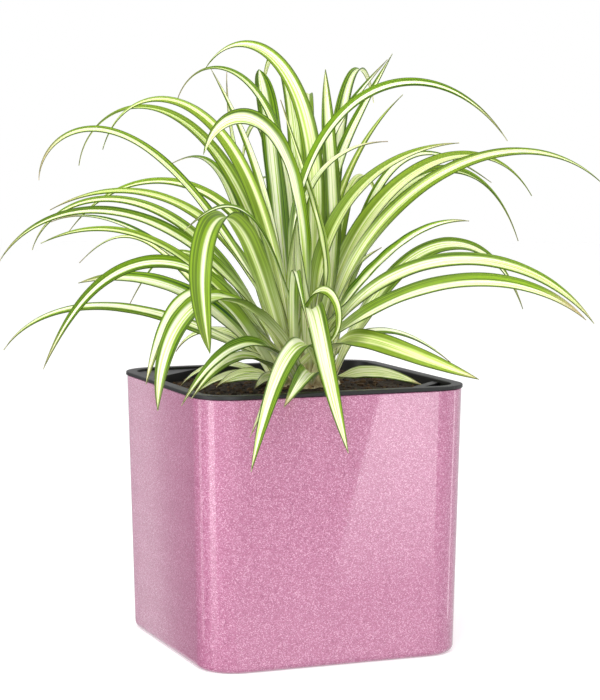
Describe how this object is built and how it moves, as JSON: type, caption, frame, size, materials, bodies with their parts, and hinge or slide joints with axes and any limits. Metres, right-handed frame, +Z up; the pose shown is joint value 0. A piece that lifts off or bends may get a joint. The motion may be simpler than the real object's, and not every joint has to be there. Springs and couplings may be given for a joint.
{
  "type": "potted spider plant",
  "caption": "Spider plant with long arching cream-striped leaves in a glossy square planter with a hanging black liner and a corner watering shaft.",
  "frame": {"origin": "centre of the pot's flat underside", "axes": "+Z up, the pot's front face towards -Y, its sides along X and Y"},
  "size_m": [0.3533, 0.2931, 0.3056],
  "materials": {
    "pot": "gloss",
    "liner": "satin",
    "soil": "matte",
    "crown": "matte",
    "leaf": "satin"
  },
  "bodies": {
    "root": {"outer_pot": "pot", "liner": "liner", "soil": "soil", "crown": "crown", "leaf_01": "leaf", "leaf_02": "leaf", "leaf_03": "leaf", "leaf_04": "leaf", "leaf_05": "leaf", "leaf_06": "leaf", "leaf_07": "leaf", "leaf_08": "leaf", "leaf_09": "leaf", "leaf_10": "leaf", "leaf_11": "leaf", "leaf_12": "leaf", "leaf_13": "leaf", "leaf_14": "leaf", "leaf_15": "leaf", "leaf_16": "leaf", "leaf_17": "leaf", "leaf_18": "leaf", "leaf_19": "leaf", "leaf_20": "leaf", "leaf_21": "leaf", "leaf_22": "leaf", "leaf_23": "leaf", "leaf_24": "leaf", "leaf_25": "leaf", "leaf_26": "leaf", "leaf_27": "leaf", "leaf_28": "leaf", "leaf_29": "leaf", "leaf_30": "leaf", "leaf_31": "leaf", "leaf_32": "leaf", "leaf_33": "leaf", "leaf_34": "leaf", "leaf_35": "leaf", "leaf_36": "leaf", "leaf_37": "leaf", "leaf_38": "leaf", "leaf_39": "leaf", "leaf_40": "leaf", "leaf_41": "leaf", "leaf_42": "leaf", "leaf_43": "leaf", "leaf_44": "leaf", "leaf_45": "leaf", "leaf_46": "leaf", "leaf_47": "leaf", "leaf_48": "leaf", "leaf_49": "leaf", "leaf_50": "leaf", "leaf_51": "leaf", "leaf_52": "leaf", "leaf_53": "leaf", "leaf_54": "leaf"}
  },
  "joints": []
}
